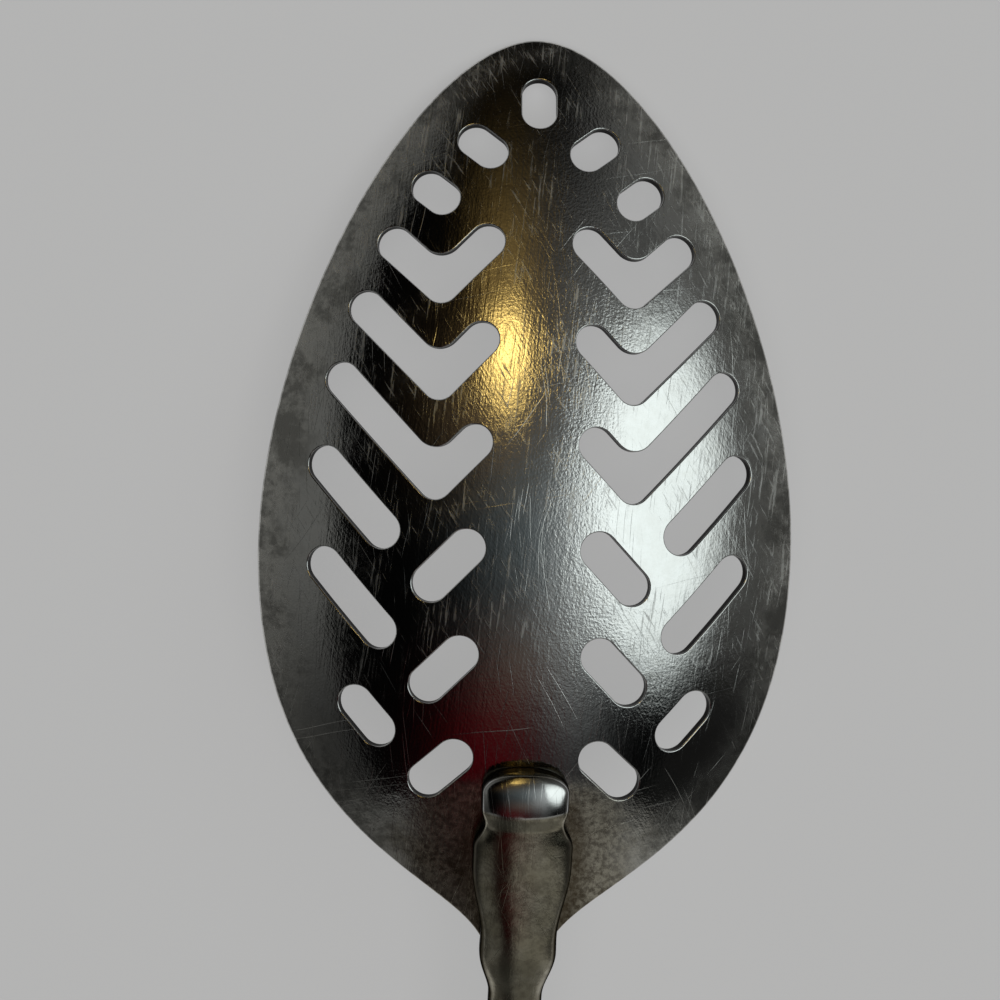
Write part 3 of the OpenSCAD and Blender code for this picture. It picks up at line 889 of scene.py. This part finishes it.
def makeEyelet(finish):
    # tube rolled over into a flange on each face
    bore, wall = handle["eyeletBore"] / 2, handle["eyeletWall"]
    flange, seat = handle["flange"] / 2, stackTop - handle["flangeHeight"] + handle["faceGap"]
    inRoll, outRoll, height = 0.8, 0.7, 0.5
    low = stackTop - height
    angles = np.linspace(0, quarter, 8)
    rollIn = [(bore + inRoll * (1 - math.cos(a)), low + height * math.sin(a)) for a in angles]
    rollOut = [(flange - outRoll + outRoll * math.sin(a), low + height * math.cos(a)) for a in angles]
    top = rollIn + rollOut + [(flange, seat), (bore + wall, seat)]
    makeLathe("hangingEyelet", "hang_eyelet", (top + mirrored(top))[::-1], eyeletPlace, finish, True)


# Shank

# Widths, heights and squareness are rows of a place and a value there. A place is given as shares of the
# nose, the seat on the bowl and the reach from there to the handle
shank = {
    "seat": 21.8,
    "reach": 76.0,
    "weldGap": 0.1,
    "belly": 0.3,
    "crown": 0.22,
    "nose": 5.0,
    "noseRadius": 11.0,
    "noseEdge": 0.28,
    "ridgeSlope": 1.0,
    "ridgeBow": 0.11,
    "noseFlat": 0.2,
    "noseRound": 0.48,
    "widths": [
        (0.87, 0, 0, 10.5), (1.29, 0, 0, 9.7), (1.92, 0, 0, 12.1), (0, 0.56, 0, 12.1), (0, 1, 0, 9.4),
        (0, 1.1, 0, 9.5), (0, 1.4, 0, 6.7), (0, 1, 0.5, 6.1), (0, 1, 0.78, 6.1),
        (0, 1, 1, handle["frontWidth"] - 2 * handle["faceGap"]),
    ],
    "heights": [
        (1, 0, 0, 3.88), (1.4, 0, 0, 3.53), (0, 0.56, 0, 3.6), (0, 1.1, 0, 4.48), (0, 1.45, 0, 3.6),
        (0, 1, 0.78, 3.6), (0, 1, 1, handle["tang"]),
    ],
    "squareness": [(1.29, 0, 0, 7), (1.92, 0, 0, 4), (0, 1, 1, 3.4)],
    "fineEnd": 34.0,
    "ringCounts": (26, 60, 72, 60),
    "ringPoints": 144,
    "wheelReach": (-0.15, 0.15),
    "wheelFront": (0.12, 0.92),
    # where the flanks and the nose's front get the forging skin and painted shade
    "shadedFlankRise": (0.87, 0.72),
    "frontSkinShade": (1.6, 0.5),
}


def straightPoint(along, height):
    # y and z at a distance behind the bowl's end and a height over the shank's underside
    top = longRadius * math.cos(neckAngle) - longRadius + shank["weldGap"]
    y = -halfLength - along * math.cos(neckAngle) - height * math.sin(neckAngle)
    return y, top - along * math.sin(neckAngle) + height * math.cos(neckAngle)


def shankSize(rows, distance):
    # size at a distance from the nose: a cosine step from each row to the next
    table = np.array(shank[rows], float)
    places, values = table[:, :3] @ (shank["nose"], shank["seat"], shank["reach"]), table[:, 3]
    row = np.clip(np.searchsorted(places, distance) - 1, 0, len(places) - 2)
    share = ramp(distance, places[row], places[row + 1])
    return values[row] + (values[row + 1] - values[row]) * (1 - np.cos(math.pi * share)) / 2


def shankHalf(distance):
    # half width; the nose is round in plan: a quarter of an oval
    start = np.minimum(1, distance / (shank["noseRound"] * shank["nose"]))
    flat = shank["noseFlat"]
    return shankSize("widths", distance) / 2 * (flat + (1 - flat) * np.sqrt(1 - (1 - start) ** 2))


def makeShank(finish):
    # Loft of ovals with square corners: x = half width * cos^(2/n), z = belly + rise * sin^(2/n). Its top is
    # crowned, and in front of the ridge the polished face drops by u * tan(slope) + u^2 / (2r). Marks for
    # the finish: polish where the wheel reached, and the flank mark on the flanks and the nose's front,
    # where the forging skin stays and shade is painted dark
    seat, nose, edge = shank["seat"], shank["nose"], shank["noseEdge"]
    start, ridgeEnd, fineEnd = shank["noseRound"] * nose, 1.4 * nose, shank["fineEnd"]
    counts = shank["ringCounts"]
    distance = np.concatenate([
        start * (1 - np.cos(np.linspace(0, quarter, counts[0], endpoint=False))),
        np.linspace(start, ridgeEnd, counts[1], endpoint=False),
        np.linspace(ridgeEnd, fineEnd, counts[2], endpoint=False),
        np.linspace(fineEnd, seat + shank["reach"], counts[3]),
    ])[:, None]
    angle = np.linspace(0, 2 * math.pi, shank["ringPoints"], endpoint=False)[None]
    power = 2 / shankSize("squareness", distance)
    side, rise = (np.sign(wave) * np.abs(wave) ** power for wave in (np.cos(angle), np.sin(angle)))
    height = shankSize("heights", distance)
    belly = shank["belly"] * height
    ahead = nose * (1 - shank["ridgeBow"] * side ** 2) - distance
    front = np.maximum(ahead, 0)
    drop = front * math.tan(math.radians(shank["ridgeSlope"])) + front ** 2 / (2 * shank["noseRadius"])
    edgeDrop = edge - np.sqrt(edge ** 2 - np.maximum(0, edge - distance) ** 2)
    top = height * (1 - shank["crown"] * side ** 2) - drop - edgeDrop
    z = belly + np.where(rise > 0, top - belly, belly) * rise
    wheel = np.maximum(0.1, ramp(distance, *shank["wheelFront"]))
    polish = ramp(ahead, *shank["wheelReach"]) * (rise > -0.5) * wheel
    # flank mark: forging skin on the flanks and the nose's front, which the finish also darkens as painted
    # shade
    flankSkinShade = np.maximum(ramp(rise, *shank["shadedFlankRise"]), 0.75 * ramp(distance, *shank["frontSkinShade"]))
    along = np.broadcast_to(distance, z.shape)
    turn = neckAngle - (seat - along) / longRadius
    far = longRadius + shank["weldGap"] + z
    straightY, straightZ = straightPoint(along - seat, z)
    y = np.where(along < seat, -far * np.sin(turn), straightY)
    up = np.where(along < seat, far * np.cos(turn) - longRadius, straightZ)
    loft = np.stack([shankHalf(distance) * side, y, up], -1).reshape(-1, 3)
    index = np.arange(z.size).reshape(z.shape)
    quads = quadsBetween(index[:-1], index[1:])[:, [0, 3, 2, 1]]
    plate, plateFaces = tangPlate()
    faces = quads.tolist() + [index[0].tolist(), index[-1, ::-1].tolist()]
    faces += (plateFaces + len(loft)).tolist()
    marks = {
        name: np.concatenate([values.ravel(), np.zeros(len(plate))])
        for name, values in (("polish", polish), ("flankSkinShade", flankSkinShade))
    }
    points = toRest(np.concatenate([loft, plate]))
    makePiece("coinedShank", "shank", points, faces, finish, marks=marks, sharp=40)


# How the spoon lies: the tip's lower edge and the rounded end of the handle touch the table

innerLong = longRadius - bowl["sheet"]
tipLow = (halfLength, math.sqrt(innerLong ** 2 - halfLength ** 2) - longRadius)
endCentre = straightPoint(shank["reach"] + handle["length"] - endRadius, handle["tang"] / 2)
span = (tipLow[0] - endCentre[0], tipLow[1] - endCentre[1])
restTilt = math.atan2(span[1], span[0]) + math.asin(endRadius / math.hypot(*span))


def turned(y, z):
    c, s = math.cos(restTilt), math.sin(restTilt)
    return y * c + z * s, z * c - y * s


restFront = turned(halfLength, longRadius * (math.cos(neckAngle) - 1))[0]
restBack = turned(*endCentre)[0] - endRadius
restShift = np.array([0, -(restFront + restBack) / 2, -turned(*tipLow)[1]])


def turnToRest(v):
    y, z = turned(v[..., 1], v[..., 2])
    return np.stack([v[..., 0], y, z], -1)


def toRest(points):
    # bowl's frame in mm to the scene in metres
    return (turnToRest(points) + restShift) / 1000


def fromHandle(points):
    # handle's frame, +Y back along it and +Z out of its upper face, to the bowl's frame
    x, y, z = points.T * [[-1], [-1], [1]]
    startY, startZ = straightPoint(shank["reach"], 0)
    c, s = math.cos(neckAngle), math.sin(neckAngle)
    return np.stack([x, startY + y * c - z * s, startZ + y * s + z * c], 1)


# Pieces

steel = polishedSteel()
satin = satinSteel()
phenolic = mouldedPhenolic()
nickel = nickelPlate()
print("materials made")

makeBowl(steel)
makeShank(satin)
makeScale("upperGrip", "upper_scale", True, phenolic)
makeScale("lowerGrip", "lower_scale", False, phenolic)
makeRivet("front", rivetPlaces[0], nickel)
makeRivet("rear", rivetPlaces[1], nickel)
makeEyelet(nickel)
print("pieces made")


# Studio

studio = {
    "floorSize": 12.0,
    "floorColour": "#c4c4c4",
    "floorGlow": 0.72,
    "glowStrength": 0.85,
    "backdrop": "#b2b2b2",
    "dimSky": (0.0012, 0.0012, 0.0012),
    "wallColour": (0.107, 0.107, 0.1),
    "wallTop": (0.695, 0.632),
    "fillPower": 14.0,
    "fillSize": 1.2,
    "fillPlace": (0, 0.05, 1.5),
}


def makeFloor():
    # pale paper: it glows a little for the camera and reflections, and keeps the soft shadow
    half = studio["floorSize"] / 2
    mesh = bpy.data.meshes.new("paperFloor")
    corners = [(x * half, y * half, 0) for x, y in ((-1, -1), (1, -1), (1, 1), (-1, 1))]
    mesh.from_pydata(corners, [], [(0, 1, 2, 3)])
    material = bpy.data.materials.new("palePaper")
    put = startTree(material)
    tone = colour(studio["floorColour"])
    diffuse = put("BsdfDiffuse", tone)
    glow = put("Emission", tone, studio["glowStrength"])
    rays = put("LightPath").node.outputs
    seen = [rays[name] for name in ("Is Camera Ray", "Is Glossy Ray", "Is Transmission Ray")]
    share = put("multiply", together(put, "maximum", *seen), studio["floorGlow"])
    put("OutputMaterial", put("MixShader", share, diffuse, glow))
    mesh.materials.append(material)
    addObject("paperFloor", mesh)


# Soft lights of the room: centre across and along the spoon, half sizes, sharpness of the edge, and colour
# in linear light
softLights = [
    ((0.56, -0.012), (0.266, 0.35), 4.2, (1.33, 1.44, 1.4)),  # window
    ((0.278, -0.15), (0.139, 0.265), 1, (0.36, 0.38, 0.375)),  # its glow
    ((-0.055, 0.27), (0.075, 0.092), 1.6, (3.4, 2.35, 0.7)),  # warm lamp
    ((-0.06, 0.38), (0.12, 0.2), 1, (0.24, 0.155, 0.046)),  # its glows
    ((-0.127, 0.157), (0.22, 0.148), 1, (0.07, 0.045, 0.022)),
    ((0.06, -0.079), (0.223, 0.209), 1, (0.071, 0.086, 0.09)),  # ceiling
    ((-0.07, -0.55), (0.2, 0.14), 1, (0.055, 0.0, 0.002)),  # dark red
    ((0.03, -0.36), (0.17, 0.105), 1, (0.066, 0.048, 0.036)),  # brown
    ((0.39, 0.353), (0.26, 0.255), 1, (0.125, 0.126, 0.119)),  # pale corner
]

# The room's walls. Each fade has its direction, start and end and, where they aren't 0 and 1, its values
walls = {
    "heel": ("toHeel", 0.07, 0.48, 1.0, 0.24),
    "side": ("across", -0.5, 0.5, 1.3, 0.8),
    "lift": ("toHeel", 0.1, 0.3, 0.0, 0.05),
    "rightHeel": ("toHeel", 0.25, 0.38, 0.0, 0.6),
    "rightSide": ("across", -0.1, 0.1),
    "tipMiddle": ("aside", 0.42, 0.2),
    "tipEnd": ("toTip", 0.0, 0.3),
    "farMiddle": ("across", -0.04, 0.01, 0.0, 2.5),
    "farLeft": ("across", -0.28, -0.42, 0.0, 1.2),
    "farEnd": ("toHeel", 0.74, 0.84, 1.0, 0.6),
    "farStart": ("toHeel", 0.59, 0.65),
    "level": ("outward", 0.3, 0.1, 0.0, 0.6),
}


def makeSky():
    # a dim room over the spoon with pale walls low down: that is what the polished back mirrors.
    # Each light is colour * exp(-((a / s)^2 + (b / t)^2)^sharpness)
    world = bpy.data.worlds.new("studioSky")
    bpy.context.scene.world = world
    put = startTree(world)
    way = put("TexCoord", out="Generated")
    across, toTip, outward = (put("dot", way, axis) for axis in turnToRest(np.eye(3)).tolist())
    ways = {
        "across": across,
        "aside": put("absolute", across),
        "toTip": toTip,
        "toHeel": put("multiply", toTip, -1.0),
        "outward": outward,
    }
    faded = {name: put("fade", ways[along], *reach) for name, (along, *reach) in walls.items()}
    right = put("multiply", faded["rightHeel"], faded["rightSide"])
    tip = put("multiply", faded["tipMiddle"], faded["tipEnd"])
    top = put("fade", put("add", outward, faded["lift"]), *studio["wallTop"])
    wall = together(
        put, "multiply", top, faded["heel"], faded["side"],
        put("subtract", 1.0, right), put("subtract", 1.0, tip),
    )
    far = put("add", faded["farMiddle"], faded["farLeft"])
    far = together(put, "multiply", far, faded["farEnd"], faded["farStart"])
    wall = together(put, "maximum", wall, far, faded["level"])
    total = put("VectorMath", put("scale", studio["wallColour"], wall), studio["dimSky"])
    over = put("Math", outward, 0.0, operation="GREATER_THAN")
    for centre, sizes, sharpness, light in softLights:
        offs = [
            put("multiply", put("subtract", value, middle), 1 / size)
            for value, middle, size in zip((across, toTip), centre, sizes)
        ]
        fall = put("power", weighted(put, *[(off, off) for off in offs]), sharpness)
        share = put("exponent", put("multiply", fall, -1.0))
        share = put("multiply", share, over)
        total = put("VectorMath", total, put("scale", light, share))
    room = put("Background", total, 1.0)
    backdrop = put("Background", colour(studio["backdrop"]), 1.0)
    seen = put("LightPath", out="Is Camera Ray")
    put("OutputWorld", put("MixShader", seen, room, backdrop))


def makeFill():
    # large soft lamp that brings plain surfaces to their own colour; metal doesn't mirror it
    data = bpy.data.lights.new("overheadFill", "AREA")
    data.shape = "DISK"
    data.size = studio["fillSize"]
    data.energy = studio["fillPower"]
    lamp = addObject("overheadFill", data)
    lamp.location = studio["fillPlace"]
    lamp.visible_glossy = False


makeFloor()
makeSky()
makeFill()

# Camera: close over the back of the bowl and square to it. Its distance and turn are in the bowl's frame
camera = {
    "turn": -0.0244814,
    "lean": 0.0614164,
    "offset": (4.17, 1.99, -218.7),
    "lens": 66.5,
    "sensor": 36.0,
    "clipStart": 0.01,
}


def makeCamera():
    c, s = math.cos(camera["turn"]), math.sin(camera["turn"])
    lean, tilt = math.cos(camera["lean"]), math.sin(camera["lean"])
    turn = np.array([[c, -s, 0], [s, c, 0], [0, 0, 1]])
    axes = turn @ np.array([[lean, 0, tilt], [0, 1, 0], [-tilt, 0, lean]])
    matrix = np.eye(4)
    matrix[:3, :3] = turnToRest(axes).T
    matrix[:3, 3] = toRest(-axes.T @ np.array(camera["offset"]))
    data = bpy.data.cameras.new("mainCamera")
    data.sensor_width = camera["sensor"]
    data.lens = camera["lens"]
    data.clip_start = camera["clipStart"]
    eye = addObject("mainCamera", data)
    eye.matrix_world = mathutils.Matrix(matrix.tolist())
    bpy.context.scene.camera = eye


makeCamera()
bpy.context.scene.view_settings.view_transform = "Standard"
print("studio and camera made")
